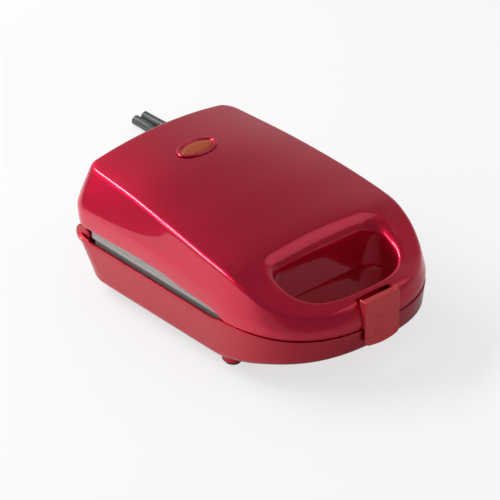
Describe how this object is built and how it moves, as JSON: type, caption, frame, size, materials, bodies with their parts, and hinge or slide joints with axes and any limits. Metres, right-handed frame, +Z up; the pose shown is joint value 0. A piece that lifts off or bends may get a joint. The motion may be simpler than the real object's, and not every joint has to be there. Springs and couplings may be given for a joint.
{
  "type": "treat maker",
  "caption": "Compact countertop treat maker: two hinged glossy shells with cooking plates inside, a finger opening at the front, a front latch, an oval lamp and a mains cord.",
  "frame": {"origin": "on the floor, under the middle of the body's bounding box without the cord", "axes": "+Z up, +Y towards the hinge at the rear, -Y towards the latch and the finger opening"},
  "size_m": [0.2511, 0.4768, 0.0932],
  "materials": {
    "shell": "glossy metallic red",
    "dark_red": "satin red",
    "plate": "dark non-stick coating",
    "steel": "plain",
    "sheet": "zinc plated",
    "brass": "plain",
    "cream": "matte",
    "amber": "clear amber",
    "glass": "clear",
    "rubber": "matte",
    "cord": "satin dark grey"
  },
  "bodies": {
    "base": {"base_shell": "shell", "base_frame": "dark_red", "lower_plate": "plate", "lower_element": "steel", "lower_shield": "sheet", "hinge_pin_left": "steel", "hinge_pin_right": "steel", "base_screw_1": "steel", "base_screw_2": "steel", "base_screw_3": "steel", "base_screw_4": "steel", "foot_pad_front_left": "rubber", "foot_pad_front_right": "rubber", "foot_pad_rear_left": "rubber", "foot_pad_rear_right": "rubber", "thermostat": "brass", "thermal_fuse": "glass", "terminal_block": "cream", "strain_relief": "rubber", "cord_out": "cord", "cord_coil": "cord", "cord_back": "cord", "plug_body": "cord", "plug_blade_left": "steel", "plug_blade_right": "steel"},
    "lid": {"lid_shell": "shell", "lid_frame": "dark_red", "upper_plate": "plate", "upper_element": "steel", "upper_shield": "sheet", "lamp_bezel": "shell", "lamp_lens": "amber", "lamp_holder": "cream", "neon_bulb": "glass", "latch_pin": "steel"},
    "latch": {"latch": "dark_red"}
  },
  "joints": [
    {"name": "lid_hinge", "type": "hinge", "parent": "base", "child": "lid", "pos_m": [0, 0.10515, 0.038], "axis": [-1, 0, 0], "range_deg": [0, 95]},
    {"name": "latch_pivot", "type": "hinge", "parent": "lid", "child": "latch", "pos_m": [0, -0.10985, 0.0462], "axis": [-1, 0, 0], "range_deg": [0, 18], "stiffness_Nm_per_rad": 0.02, "springref_deg": -11.46}
  ]
}
